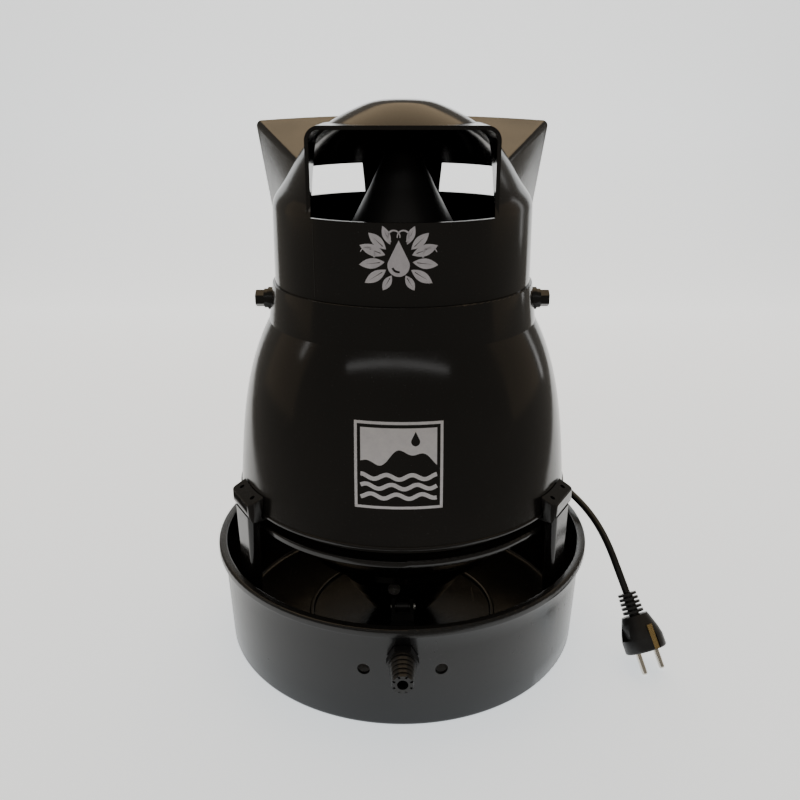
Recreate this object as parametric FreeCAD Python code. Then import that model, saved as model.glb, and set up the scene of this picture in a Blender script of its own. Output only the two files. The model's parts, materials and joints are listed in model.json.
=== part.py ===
"""Centrifugal disc humidifier: a bell-shaped mist head on three legs, standing in a round water tray.

Units are millimetres. The origin is the centre of the tray's underside, +Z is up, and the hose inlet
and the narrow mist outlet face -Y. Every piece is written to parts/NODE.step.
"""

import FreeCAD, Part
import math
import os

V = FreeCAD.Vector
ORIGIN = V(0, 0, 0)
UP = V(0, 0, 1)
FRONT = V(0, -1, 0)

# ---------------------------------------------------------------- driving dimensions
RIM_RADIUS = 170.0            # outer edge of the tray's rim
RIM_HEIGHT = 97.5             # top of the rim above the floor
TRAY_FOOT_RADIUS = 161.9      # outside of the tray's drafted wall, at the floor and under the rim
TRAY_TOP_RADIUS = 165.3
TRAY_WALL_RADIUS = 164.5      # the same at the height of the inlet
TRAY_WALL = 2.8
TRAY_FLOOR_RADIUS = 155.0     # boundary between the tray's floor and its wall
TRAY_RIB_RADIUS = 88.0        # raised ring on the tray's floor
INLET_HEIGHT = 70.0
FIXING_HOLE_SPACING = 61.0    # two holes beside the inlet
FIXING_HOLE_HEIGHT = 56.0
FIXING_HOLE_RADIUS = 5.0

SHELL_WALL = 3.0              # moulded wall of bell and hood
BELL_EDGE_Z = 152.5           # lower edge of the bell
SEAM_Z = 331.5                # joint between bell neck and hood
# outside of the bell, from the lower edge up to the foot of the neck: (radius, height)
BELL_OUTLINE = [(145.4, BELL_EDGE_Z), (142.6, 184.5), (136.6, 230.5), (125.4, 273.0), (113.0, 300.0)]
NECK_RADIUS = 109.0

HOOD_RADIUS = 106.8
MOUTH_SILL_Z = 392.0          # top of the hood's ring, and lower lip of both mist outlets
# outside of the dome from the ring up to just short of its top: (radius, height)
DOME_OUTLINE = [(105.9, MOUTH_SILL_Z), (98.0, 408.5), (86.0, 427.5), (64.5, 452.0), (34.0, 468.5)]
DOME_TOP_Z = 473.8
FRONT_MOUTH_HALF_WIDTH = 70.3
FRONT_MOUTH_TOP_Z = 456.2
FRONT_MOUTH_Y = -79.0
FRONT_MOUTH_WALL = 3.0
REAR_MOUTH_Y = 118.0
REAR_MOUTH_TOP_Z = 454.5
REAR_MOUTH_HALF_TOP = 136.5
REAR_MOUTH_HALF_BOTTOM = 124.6
REAR_MOUTH_LOW_Z = 372.0
REAR_WINDOW_TOP_Z = 419.0
MIDDLE_POST_HALF_WIDTH = 34.5
REAR_WINDOW_HALF_WIDTH = 85.0

HOUSING_EDGE_RADIUS = 142.3
HOUSING_EDGE_Z = 138.0
COLLAR_RADIUS = 90.0          # air opening under the bell
COLLAR_Z = 86.0

LEG_ANGLES = {"leg_left": 210.0, "leg_right": 330.0, "leg_rear": 90.0}
CAP_TOP_Z = 169.3             # the cap's top slopes down outwards from here
CAP_INNER_RADIUS = 143.0
CAP_OUTER_RADIUS = 156.0
CAP_OUTER_Z = 163.2
CAP_HALF_WIDTH = 21.0
LUG_RADIUS = 152.6            # lugs on the lower housing that the leg caps clasp
LUG_HALF_WIDTH = 14.8
LUG_LOW_Z = 145.9
LUG_TOP_Z = BELL_EDGE_Z - 0.6
SCREW_CIRCLE = 149.4
SCREW_SIDE = 12.0
SCREW_HEAD = 1.8

MOTOR_RADIUS = 46.0
MOTOR_BOTTOM_Z = 236.0
MOTOR_TOP_Z = 356.0
SHAFT_RADIUS = 5.0
DISC_Z = 90.0
DISC_RADIUS = 66.0
FAN_RADIUS = 90.0
CONE_TIP_Z = 8.3

BOLT_Z = 313.5                # hood bolts through the neck
BOLT_RADIUS = 3.0

CORD_RADIUS = 3.2
PIN_SPACING = 19.0            # earthed two-pin mains plug
PIN_RADIUS = 2.4
PIN_LENGTH = 19.0

# hose inlet and float valve, along the inlet's axis
BARB_END_Y = -197.0
HEX_FACE_Y = -173.0
SHANK_END_Y = -149.0
VALVE_REAR_Y = -126.0
FINGER_FACE_Y = -120.5
SHANK_RADIUS = 7.9
FIT_GAP = 0.05
SEAL_RADIUS = 10.8
PIVOT = V(0, -115.0, 82.0)    # axis of the float lever
PIVOT_RADIUS = 1.5
PLUNGER_RADIUS = 3.0

# motor bracket, and the bosses inside the bell that carry it
BRACKET_Z = 274.0             # underside of the bracket's arms
BRACKET_ARM = 6.0
BRACKET_ANGLES = (30.0, 150.0, 270.0)
BRACKET_SCREW_RADIUS = 109.0
BOSS_LOW_Z = 256.0

CONE_SCREW_Z = 63.0
CONE_SCREW_ANGLES = (263.3, 23.3, 143.3)

# mains cord, from its gland in the bell's wall to the plug
GLAND_TURN = math.radians(58.0)
GLAND_START = V(144.5 * math.cos(GLAND_TURN), 144.5 * math.sin(GLAND_TURN), 164.0)
GLAND_WAY = V(math.cos(GLAND_TURN), math.sin(GLAND_TURN), -0.30).normalize()
GLAND_HOLE_RADIUS = 4.75
GLAND_LENGTH = 24.0
PLUG_TAIL = V(201.6, -58.0, 57.0)
PLUG_WAY = V(0.280, -0.536, -0.795).normalize()
PLUG_RELIEF = 20.0
PLUG_BODY = 31.0
PLUG_RADIUS = 18.2
PIN_SIDE = V(0.914, 0.407, 0.0)
CORD_ROUTE = [
    GLAND_START + GLAND_WAY * GLAND_LENGTH,
    V(98.0, 155.2, 151.6), V(111.5, 165.0, 146.2), V(128.0, 168.4, 141.2), V(144.5, 164.2, 136.0),
    V(157.2, 152.8, 130.8), V(163.6, 136.2, 125.6), V(163.8, 114.5, 120.4), V(158.6, 92.5, 116.2),
    V(154.8, 72.0, 113.2), V(158.6, 51.5, 111.6), V(167.9, 32.2, 109.0), V(177.1, 12.3, 104.3),
    V(184.9, -7.3, 96.8), V(190.9, -26.0, 86.3), V(195.8, -43.2, 72.9), PLUG_TAIL,
]


# ---------------------------------------------------------------- helpers
def save(shape, node):
    """Check and write one sub-part."""
    solids = shape.Solids
    if not solids or not all(s.isValid() for s in solids):
        raise RuntimeError("bad solid in " + node)
    whole = solids[0] if len(solids) == 1 else Part.makeCompound(solids)
    whole.exportStep("parts/" + node + ".step")
    print("%-22s solids %2d volume %.0f" % (node, len(solids), sum(s.Volume for s in solids)))


def fuse(shapes):
    first = shapes[0]
    return first.multiFuse(shapes[1:]).removeSplitter() if len(shapes) > 1 else first


def loop(corners, place):
    """Closed wire through (a, b) or (a, b, radius) corners; place(a, b) gives the point in space."""
    count = len(corners)
    starts = []
    ends = []
    middles = []
    for i in range(count):
        a, b = corners[i][0], corners[i][1]
        radius = corners[i][2] if len(corners[i]) > 2 else 0.0
        here = V(a, b, 0)
        before = V(corners[i - 1][0], corners[i - 1][1], 0) - here
        after = V(corners[(i + 1) % count][0], corners[(i + 1) % count][1], 0) - here
        before.normalize()
        after.normalize()
        if radius <= 0.0:
            starts.append(here)
            ends.append(here)
            middles.append(None)
            continue
        half = before.getAngle(after) / 2.0
        reach = radius / math.tan(half)
        middle_way = before + after
        middle_way.normalize()
        centre = here + middle_way * (radius / math.sin(half))
        starts.append(here + before * reach)
        ends.append(here + after * reach)
        middles.append(centre - middle_way * radius)
    edges = []
    for i in range(count):
        if middles[i] is not None:
            points = [place(p.x, p.y) for p in (starts[i], middles[i], ends[i])]
            edges.append(Part.Arc(*points).toShape())
        run_start = ends[i]
        run_end = starts[(i + 1) % count]
        if run_start.distanceToPoint(run_end) > 1e-4:
            edges.append(Part.LineSegment(place(run_start.x, run_start.y), place(run_end.x,
                    run_end.y)).toShape())
    return Part.Wire(edges)


def turned(corners):
    """Solid of revolution about Z from (radius, height[, corner radius]) corners."""
    face = Part.Face(loop(corners, lambda r, z: V(r, 0, z)))
    return face.revolve(ORIGIN, UP, 360)


def plate(corners, low, high):
    """Outline in XY, from height low to height high."""
    face = Part.Face(loop(corners, lambda x, y: V(x, y, low)))
    return face.extrude(V(0, 0, high - low))


def wall_panel(corners, near, far):
    """Outline in XZ, extruded along Y from near to far."""
    face = Part.Face(loop(corners, lambda x, z: V(x, near, z)))
    return face.extrude(V(0, far - near, 0))


def box(x0, x1, y0, y1, z0, z1):
    return Part.makeBox(x1 - x0, y1 - y0, z1 - z0, V(x0, y0, z0))


def rod(radius, start, end):
    way = end - start
    return Part.makeCylinder(radius, way.Length, start, way)


def taper(radius_start, radius_end, start, end):
    way = end - start
    return Part.makeCone(radius_start, radius_end, way.Length, start, way)


def tube_along_z(outer, inner, low, high):
    return rod(outer, V(0, 0, low), V(0, 0, high)).cut(rod(inner, V(0, 0, low - 1), V(0, 0, high + 1)))


def hexagon(across_flats, start, end):
    """Hexagonal prism from start to end; one corner points along the axis's first side direction."""
    way = end - start
    length = way.Length
    corner = across_flats / math.sqrt(3.0)
    points = [V(corner * math.cos(math.radians(60 * k)), corner * math.sin(math.radians(60 * k)), 0)
              for k in range(7)]
    prism = Part.Face(Part.makePolygon(points)).extrude(V(0, 0, length))
    prism.Placement = FreeCAD.Placement(start, FreeCAD.Rotation(UP, way))
    return prism


def around_z(shape, degrees):
    copy = shape.copy()
    copy.rotate(ORIGIN, UP, degrees)
    return copy


def at_angle(radius, degrees, height):
    turn = math.radians(degrees)
    return V(radius * math.cos(turn), radius * math.sin(turn), height)


# ---------------------------------------------------------------- water tray
def wall_cone(inset):
    """Solid inside the tray's drafted wall, moved inwards by inset."""
    under_rim = RIM_HEIGHT - 7.0
    return turned([(0, 0), (TRAY_FOOT_RADIUS - inset, 0), (TRAY_TOP_RADIUS - inset, under_rim), (0,
            under_rim)])


def make_tray():
    """Wall with its rolled rim, and the floor with its ring and leg sockets, as two pieces."""
    top = RIM_HEIGHT
    corners = [
        (0, 0), (TRAY_FOOT_RADIUS, 0, 5.0), (TRAY_TOP_RADIUS, top - 7.0, 0.8),
        (RIM_RADIUS - 2.0, top - 5.4, 0.8), (RIM_RADIUS - 2.0, top - 7.0, 0.4), (RIM_RADIUS, top - 7.0, 0.9),
        (RIM_RADIUS, top, 2.2), (TRAY_TOP_RADIUS - TRAY_WALL, top, 1.2),
        (TRAY_FOOT_RADIUS - TRAY_WALL, TRAY_WALL, 5.0), (0, TRAY_WALL),
    ]
    tray = turned(corners)
    rib = turned([(TRAY_RIB_RADIUS - 2.4, TRAY_WALL - 0.5), (TRAY_RIB_RADIUS - 2.4, TRAY_WALL + 3.0, 1.5),
                  (TRAY_RIB_RADIUS + 2.4, TRAY_WALL + 3.0, 1.5), (TRAY_RIB_RADIUS + 2.4, TRAY_WALL - 0.5)])
    core = rod(TRAY_FLOOR_RADIUS, V(0, 0, -1), V(0, 0, 30))
    floor = fuse([tray.common(core), rib] + [foot_socket(a).common(core) for a in LEG_ANGLES.values()])
    holes = [rod(8.2, V(0, -150, INLET_HEIGHT), V(0, -172, INLET_HEIGHT))]
    for side in (-1, 1):
        x = side * FIXING_HOLE_SPACING / 2.0
        holes.append(rod(FIXING_HOLE_RADIUS, V(x, -145, FIXING_HOLE_HEIGHT), V(x, -172, FIXING_HOLE_HEIGHT)))
    wall = tray.cut(core).cut(Part.makeCompound(holes))
    return wall, floor


def foot_socket(angle):
    """Low U-shaped socket on the tray floor that a leg drops into, open towards the wall."""
    outer = plate([(139.5, -15, 3), (158.6, -15, 3), (158.6, 15, 3), (139.5, 15, 3)], TRAY_WALL - 0.5,
            TRAY_WALL + 5)
    inner = plate([(142.0, -12.4, 2), (156.4, -12.4, 2), (156.4, 12.4, 2), (142.0, 12.4, 2)],
                  TRAY_WALL, TRAY_WALL + 6)
    return around_z(outer.cut(inner), angle)


# ---------------------------------------------------------------- hose inlet and float valve
def along_inlet(y):
    return V(0, y, INLET_HEIGHT)


def make_inlet_fitting():
    wall = -TRAY_WALL_RADIUS
    solid = [hexagon(22.0, along_inlet(wall - 1.6), along_inlet(HEX_FACE_Y)),
             rod(SHANK_RADIUS, along_inlet(SHANK_END_Y), along_inlet(wall - 2)),
             taper(SEAL_RADIUS, 10.4, along_inlet(HEX_FACE_Y + 0.2), along_inlet(HEX_FACE_Y - 1.6)),
             taper(8.4, 7.2, along_inlet(HEX_FACE_Y + 1), along_inlet(BARB_END_Y))]
    ring_count = 5
    pitch = (HEX_FACE_Y - 1.6 - BARB_END_Y) / ring_count
    for k in range(ring_count):
        start = BARB_END_Y + k * pitch
        crest = 8.7 + 0.45 * k
        solid.append(taper(crest - 0.9, crest, along_inlet(start), along_inlet(start + 0.5 * pitch)))
        solid.append(rod(crest, along_inlet(start + 0.5 * pitch), along_inlet(start + 0.66 * pitch)))
    fitting = fuse(solid)
    notches = []
    for k in range(8):
        notch = box(6.0, 8.2, BARB_END_Y - 1, BARB_END_Y + 1.2, -0.8, 0.8)
        notch.rotate(ORIGIN, FRONT, 22.5 + 45 * k)
        notch.translate(V(0, 0, INLET_HEIGHT))
        notches.append(notch)
    bore = rod(4.2, along_inlet(SHANK_END_Y + 1), along_inlet(BARB_END_Y - 1))
    return fitting.cut(Part.makeCompound(notches + [bore]))


def make_inlet_seals():
    """Rubber washers outside and inside the tray wall, each shaped to the curved wall."""
    outer = rod(SEAL_RADIUS, along_inlet(-155), along_inlet(-TRAY_WALL_RADIUS - 1.6)).cut(wall_cone(0.0))
    inner = rod(SEAL_RADIUS, along_inlet(-159.4), along_inlet(-164)).common(wall_cone(TRAY_WALL + 0.25))
    bore = rod(SHANK_RADIUS + FIT_GAP, along_inlet(-140), along_inlet(-170))
    return Part.makeCompound([outer.cut(bore).Solids[0], inner.cut(bore).Solids[0]])


def make_inlet_locknut():
    nut = hexagon(23.0, along_inlet(-159.4), along_inlet(-155.0))
    return nut.cut(rod(SHANK_RADIUS + FIT_GAP, along_inlet(-150), along_inlet(-165)))


def make_valve_body():
    """Chamber screwed on the inlet's shank, with the plunger's guide bore and two ears for the pivot pin."""
    chamber = fuse([rod(9.6, along_inlet(-154.8), along_inlet(VALVE_REAR_Y)),
                    box(-9.0, 9.0, -138, VALVE_REAR_Y, INLET_HEIGHT, 84.5)])
    ears = []
    for side in (-1, 1):
        low_x = 6.0 if side > 0 else -9.0
        ear = box(low_x, low_x + 3.0, -130, -111, 77.5, 86.5)
        ears.append(ear)
    body = fuse([chamber] + ears)
    cuts = [rod(SHANK_RADIUS + FIT_GAP, along_inlet(SHANK_END_Y), along_inlet(-156)),
            rod(2.2, along_inlet(-150), along_inlet(-144)),
            rod(PLUNGER_RADIUS + 0.05, along_inlet(-145), along_inlet(VALVE_REAR_Y + 1)),
            rod(2.0, V(0, -141, INLET_HEIGHT), V(0, -141, INLET_HEIGHT - 12)),
            rod(PIVOT_RADIUS, PIVOT - V(12, 0, 0), PIVOT + V(12, 0, 0))]
    return body.cut(Part.makeCompound(cuts))


def make_pivot_pin():
    pin = rod(PIVOT_RADIUS, PIVOT - V(9.6, 0, 0), PIVOT + V(9.6, 0, 0))
    head = rod(2.6, PIVOT + V(9.1, 0, 0), PIVOT + V(10.6, 0, 0))
    return fuse([pin, head])


def make_float_arm():
    hub = rod(3.6, PIVOT - V(5.5, 0, 0), PIVOT + V(5.5, 0, 0))
    stem = box(-4.0, 4.0, FINGER_FACE_Y + 2.0, -113.0, 46.0, 82.0)
    bar = box(-42.0, 42.0, -121.0, -114.5, 44.0, 51.0)
    finger = rod(1.5, V(-4.0, FINGER_FACE_Y + 1.5, INLET_HEIGHT), V(4.0, FINGER_FACE_Y + 1.5, INLET_HEIGHT))
    arm = fuse([hub, stem, bar, finger])
    return arm.cut(rod(PIVOT_RADIUS + FIT_GAP, PIVOT - V(12, 0, 0), PIVOT + V(12, 0, 0)))


def make_float_block():
    """U-shaped float whose two lobes stand either side of the valve body."""
    top = 60.0
    outline = [(-44, -121, 2), (-44, -144, 6), (-14, -144, 4), (-14, -127, 2),
               (14, -127, 2), (14, -144, 4), (44, -144, 6), (44, -121, 2)]
    block = plate(outline, 32.0, top)
    return block.cut(box(-15, 15, -128, -120.9, 53.0, top + 1))


def make_plunger():
    stem = rod(PLUNGER_RADIUS, along_inlet(-139.6), along_inlet(FINGER_FACE_Y - 0.5))
    return fuse([stem, rod(4.6, along_inlet(-123.0), along_inlet(FINGER_FACE_Y - 0.5))])


def make_plunger_seal():
    return rod(2.9, along_inlet(-142.4), along_inlet(-139.6))


# ---------------------------------------------------------------- bell and lower housing
def make_bell():
    outer = [V(r, 0, z) for r, z in BELL_OUTLINE]
    inner = [V(r - SHELL_WALL, 0, z) for r, z in BELL_OUTLINE]
    outside = Part.BSplineCurve()
    outside.interpolate(outer)
    inside = Part.BSplineCurve()
    inside.interpolate(inner)
    neck_edge = 0.9
    neck_side = V(NECK_RADIUS, 0, SEAM_Z - neck_edge)
    neck_corner = V(NECK_RADIUS - 0.3 * neck_edge, 0, SEAM_Z - 0.3 * neck_edge)
    neck_top = V(NECK_RADIUS - neck_edge, 0, SEAM_Z)
    neck_inner_top = V(NECK_RADIUS - SHELL_WALL, 0, SEAM_Z)
    edges = [outside.toShape(), Part.LineSegment(outer[-1], neck_side).toShape(),
             Part.Arc(neck_side, neck_corner, neck_top).toShape(),
             Part.LineSegment(neck_top, neck_inner_top).toShape(),
             Part.LineSegment(neck_inner_top, inner[-1]).toShape(), inside.toShape(),
             Part.LineSegment(inner[0], outer[0]).toShape()]
    bell = Part.Face(Part.Wire(edges)).revolve(ORIGIN, UP, 360)
    edge_bead = turned([(144.0, BELL_EDGE_Z - 0.6, 0.6), (146.3, BELL_EDGE_Z - 0.6, 1.0),
                        (146.3, BELL_EDGE_Z + 2.6, 1.0), (143.6, BELL_EDGE_Z + 2.6)])
    boss_space = turned([(0, BOSS_LOW_Z), (bell_inner(BOSS_LOW_Z) + 1.0, BOSS_LOW_Z),
                         (bell_inner(BRACKET_Z) + 1.0, BRACKET_Z - 0.1), (0, BRACKET_Z - 0.1)])
    bosses = []
    for angle in BRACKET_ANGLES:
        boss = box(103.0, 130.0, -6.0, 6.0, BOSS_LOW_Z, BRACKET_Z - 0.1)
        bosses.append(around_z(boss, angle).common(boss_space))
    bell = fuse([bell, edge_bead] + bosses)
    cuts = [rod(BOLT_RADIUS + 0.2, V(-130, 0, BOLT_Z), V(130, 0, BOLT_Z)),
            rod(GLAND_HOLE_RADIUS, GLAND_START - GLAND_WAY * 8, GLAND_START + GLAND_WAY * 20)]
    cuts += [rod(1.5, at_angle(BRACKET_SCREW_RADIUS, a, BOSS_LOW_Z + 4), at_angle(BRACKET_SCREW_RADIUS,
            a, 280))
             for a in BRACKET_ANGLES]
    return bell.cut(Part.makeCompound(cuts))


def make_lower_housing():
    """Funnel closing the bell from below, with the open collar that the rotating cone hangs through."""
    rim = HOUSING_EDGE_RADIUS
    profile = [(COLLAR_RADIUS, COLLAR_Z, 1.2), (COLLAR_RADIUS, 94.0, 3.0), (124.0, 121.0, 6.0),
               (rim - 3.0, HOUSING_EDGE_Z - 5.0, 2.0), (rim, HOUSING_EDGE_Z - 3.0, 1.5), (rim,
               HOUSING_EDGE_Z + 2.2, 1.8),
               (rim - 4.0, HOUSING_EDGE_Z + 3.2, 1.0), (134.4, HOUSING_EDGE_Z + 5.6, 1.0), (134.4,
               150.0), (131.6, 150.0),
               (131.6, 136.0, 4.0), (121.0, 124.0, 6.0), (COLLAR_RADIUS - 3.0, 96.5, 3.0),
               (COLLAR_RADIUS - 3.0, COLLAR_Z, 1.2)]
    housing = turned(profile)
    lugs = []
    for angle in LEG_ANGLES.values():
        lug = plate([(130.5, -LUG_HALF_WIDTH), (LUG_RADIUS, -LUG_HALF_WIDTH, 2),
                     (LUG_RADIUS, LUG_HALF_WIDTH, 2), (130.5, LUG_HALF_WIDTH)], LUG_LOW_Z, LUG_TOP_Z)
        lug = lug.cut(rod(132.5, V(0, 0, 140), V(0, 0, 160)))
        web = box(133.0, 139.5, -1.5, 1.5, HOUSING_EDGE_Z + 1, LUG_LOW_Z + 1)
        lugs.append(around_z(fuse([lug, web]), angle))
    ribs = [around_z(box(88.5, 132.5, -1.5, 1.5, 96, 140).common(rib_cutter()),
            30 + 60 * k) for k in range(6)]
    housing = fuse([housing] + lugs + ribs)
    pilot = [rod(1.25, V(x, y, 140), V(x, y, 153)) for x, y in leg_screw_points()]
    return housing.cut(Part.makeCompound(pilot))


def rib_cutter():
    """Space above the funnel's wall in which the stiffening ribs stand."""
    return turned([(86.5, 94.5), (122.5, 122.0), (132.8, 134.5), (132.8, 141.0), (120.0, 133.0), (88.0,
            108.0)])


def make_diffuser_comb():
    """Ring of upright teeth that breaks the flung water into mist."""
    ring = tube_along_z(COLLAR_RADIUS - 3.0, 83.0, 88.0, 95.5)
    ring = fuse([ring, tube_along_z(86.6, 83.0, 95.4, 112.0)])
    slots = []
    count = 36
    for k in range(count):
        slots.append(around_z(box(80, 90, -2.3, 2.3, 90.5, 107.0), k * 360.0 / count))
    return ring.cut(Part.makeCompound(slots))


# ---------------------------------------------------------------- legs
def cap_outline(inner, outer, half_width, radius):
    return [(inner, -half_width), (outer, -half_width, radius), (outer, half_width, radius), (inner,
            half_width)]


def make_leg(angle):
    """Cap that clasps the housing lug and covers the bell's edge, with its post below."""
    cap_low_z = 148.0
    side = [(138.0, cap_low_z), (CAP_OUTER_RADIUS - 2.6, cap_low_z), (CAP_OUTER_RADIUS, cap_low_z + 6.0, 2.0),
            (CAP_OUTER_RADIUS, CAP_OUTER_Z, 1.4), (CAP_INNER_RADIUS, CAP_TOP_Z), (138.0, CAP_TOP_Z)]
    cap = wall_panel(side, -CAP_HALF_WIDTH, CAP_HALF_WIDTH)
    cap = cap.common(plate(cap_outline(138.0, CAP_OUTER_RADIUS, CAP_HALF_WIDTH, 4.5), cap_low_z,
            CAP_TOP_Z + 1))
    flank = CAP_HALF_WIDTH - 0.01
    flanks = [e for e in cap.Edges if abs(e.CenterOfMass.y) > flank and e.CenterOfMass.z > CAP_OUTER_Z]
    cap = cap.makeFillet(1.2, flanks)
    post_foot = [(146.2, -10.2, 3), (154.4, -10.2, 3), (154.4, 10.2, 3), (146.2, 10.2, 3)]
    post_head = [(144.4, -16.8, 2), (155.2, -16.8, 4), (155.2, 16.8, 4), (144.4, 16.8, 2)]
    post = Part.makeLoft([loop(post_foot, lambda x, y: V(x, y, 3.1)),
                          loop(post_head, lambda x, y: V(x, y, 150.0))], True, True)
    leg = fuse([cap, post])
    bell_space = turned([(0, BELL_EDGE_Z - 2.2), (147.0, BELL_EDGE_Z - 2.2), (146.8, BELL_EDGE_Z + 4.0),
                         (145.3, 160.0), (144.1, 175.0), (0, 175.0)])
    housing_space = rod(HOUSING_EDGE_RADIUS + 0.3, V(0, 0, 125), V(0, 0, BELL_EDGE_Z))
    lug_space = box(130.0, LUG_RADIUS + 0.3, -LUG_HALF_WIDTH - 0.3, LUG_HALF_WIDTH + 0.3,
                    LUG_LOW_Z - 0.3, LUG_TOP_Z)
    leg = leg.cut(Part.makeCompound([bell_space, housing_space])).cut(lug_space)
    leg = max(leg.Solids, key=lambda solid: solid.Volume)
    screw_wells = []
    for side_y in (-SCREW_SIDE, SCREW_SIDE):
        screw_wells.append(rod(SCREW_HEAD + 0.2, V(SCREW_CIRCLE, side_y, 158.0), V(SCREW_CIRCLE,
                side_y, 175.0)))
        screw_wells.append(rod(1.5, V(SCREW_CIRCLE, side_y, 138.0), V(SCREW_CIRCLE, side_y, 160.0)))
    return around_z(leg.cut(Part.makeCompound(screw_wells)), angle)


def leg_screw_points():
    points = []
    for angle in LEG_ANGLES.values():
        turn = math.radians(angle)
        for side in (-SCREW_SIDE, SCREW_SIDE):
            points.append((SCREW_CIRCLE * math.cos(turn) - side * math.sin(turn),
                           SCREW_CIRCLE * math.sin(turn) + side * math.cos(turn)))
    return points


def screw(radius, length, head_radius, head_height, start, way):
    """Pan-head screw with a cross recess; start is under the head, way points from tip to head."""
    way = way / way.Length
    body = fuse([rod(radius, start - way * length, start), rod(head_radius, start,
            start + way * head_height)])
    slot = fuse([box(-head_radius * 0.6, head_radius * 0.6, -0.35, 0.35, 0, 3),
                 box(-0.35, 0.35, -head_radius * 0.6, head_radius * 0.6, 0, 3)])
    slot.Placement = FreeCAD.Placement(start + way * (head_height * 0.5), FreeCAD.Rotation(UP, way))
    return body.cut(slot)


def make_leg_screws():
    return Part.makeCompound([screw(1.25, 11.0, SCREW_HEAD, 1.5, V(x, y, 158.0), UP) for x,
            y in leg_screw_points()])


# ---------------------------------------------------------------- hood
def dome_solid(offset):
    """Solid inside the dome and the ring below it, moved inwards by offset."""
    points = DOME_OUTLINE + [(0.0, DOME_TOP_Z)]
    moved = []
    for i in range(len(DOME_OUTLINE)):
        before = points[max(i - 1, 0)]
        after = points[i + 1]
        run = V(after[0] - before[0], 0, after[1] - before[1])
        outwards = V(run.z, 0, -run.x)
        outwards.normalize()
        if i == 0:
            outwards = V(1, 0, 0)
        moved.append(V(points[i][0], 0, points[i][1]) - outwards * offset)
    top = V(0, 0, DOME_TOP_Z - offset)
    curve = Part.BSplineCurve()
    curve.interpolate(moved + [top], InitialTangent=V(-0.04, 0, 1), FinalTangent=V(-1, 0, 0))
    foot = V(HOOD_RADIUS - offset, 0, SEAM_Z)
    edges = [Part.LineSegment(V(0, 0, SEAM_Z), foot).toShape(), Part.LineSegment(foot, moved[0]).toShape(),
             curve.toShape(), Part.LineSegment(top, V(0, 0, SEAM_Z)).toShape()]
    return Part.Face(Part.Wire(edges)).revolve(ORIGIN, UP, 360)


def duct_section(y, half_bottom, half_top, low, high, crown, radius):
    """Closed section of the rear duct in the plane Y = y, with a slightly crowned top."""
    corners = [(-half_bottom, low, radius), (half_bottom, low, radius), (half_top, high, radius),
               (-half_top, high, radius)]
    base = loop(corners, lambda x, z: V(x, y, z))
    edges = []
    for edge in base.OrderedEdges:
        ends = [v.Point for v in (edge.firstVertex(True), edge.lastVertex(True))]
        flat = abs(ends[0].z - ends[1].z) < 1e-6 and abs(ends[0].z - high) < 1e-6
        if flat:
            edges.append(Part.Arc(ends[0], V(0, y, high + crown), ends[1]).toShape())
        else:
            edges.append(edge)
    return Part.Wire(edges)


def rear_duct_block(inset):
    """Flared rear outlet; inset 0 is the outside, SHELL_WALL the passage."""
    start = 20.0 - inset
    end = REAR_MOUTH_Y + inset
    near = duct_section(start, 90.0 - inset, 88.0 - inset, 380.0 + inset, 425.0 - inset, 0.8,
            5.0 - 0.8 * inset)
    far = duct_section(end, REAR_MOUTH_HALF_BOTTOM - inset, REAR_MOUTH_HALF_TOP - inset,
            REAR_MOUTH_LOW_Z + inset,
                       REAR_MOUTH_TOP_Z - inset, 4.5, 5.0 - 0.8 * inset)
    return Part.makeLoft([near, far], True, True)


def front_opening(inset, near, far):
    """Round-cornered front duct outline, extruded between two Y planes."""
    half = FRONT_MOUTH_HALF_WIDTH - inset
    radius = 10.5 - inset
    low = MOUTH_SILL_Z
    return wall_panel([(-half, low), (half, low), (half, FRONT_MOUTH_TOP_Z - inset, radius),
                       (-half, FRONT_MOUTH_TOP_Z - inset, radius)], near, far)


def rear_window(side):
    low = MOUTH_SILL_Z
    top = REAR_WINDOW_TOP_Z
    inner = side * MIDDLE_POST_HALF_WIDTH
    outer = side * REAR_WINDOW_HALF_WIDTH
    corners = [(inner, low), (outer, low), (outer, top, 9.0), (inner + side * 1.5, top)]
    return wall_panel(corners, 10.0, 112.0)


def above(height):
    return box(-200, 200, -200, 200, height, 600)


def make_hood_pieces():
    """The hood as moulded: ring with its spigot, dome, front duct and flared rear duct."""
    outside = dome_solid(0.0)
    inside = dome_solid(SHELL_WALL)
    shell = outside.cut(inside)
    spigot_radius = NECK_RADIUS - SHELL_WALL - 0.4
    spigot = tube_along_z(spigot_radius, spigot_radius - SHELL_WALL, 303.0, SEAM_Z + 3.0)
    land = tube_along_z(HOOD_RADIUS - 1.0, spigot_radius - SHELL_WALL, SEAM_Z, SEAM_Z + 3.0)
    ring = fuse([shell.cut(above(MOUTH_SILL_Z)), spigot, land])
    ring = ring.cut(rod(BOLT_RADIUS + 0.2, V(-130, 0, BOLT_Z), V(130, 0, BOLT_Z)))
    passage = front_opening(FRONT_MOUTH_WALL, -115.0, 0.0)
    front = front_opening(0.0, FRONT_MOUTH_Y, 0.0).cut(passage).cut(outside)
    front = max(front.Solids, key=lambda s: s.Volume)
    rear = rear_duct_block(0.0).cut(rear_duct_block(SHELL_WALL)).cut(outside)
    rear = max(rear.Solids, key=lambda s: s.Volume)
    dome = shell.common(above(MOUTH_SILL_Z))
    dome = dome.cut(Part.makeCompound([passage, rear_window(-1), rear_window(1)]))
    dome = max(dome.Solids, key=lambda s: s.Volume)
    return ring, dome, front, rear


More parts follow.
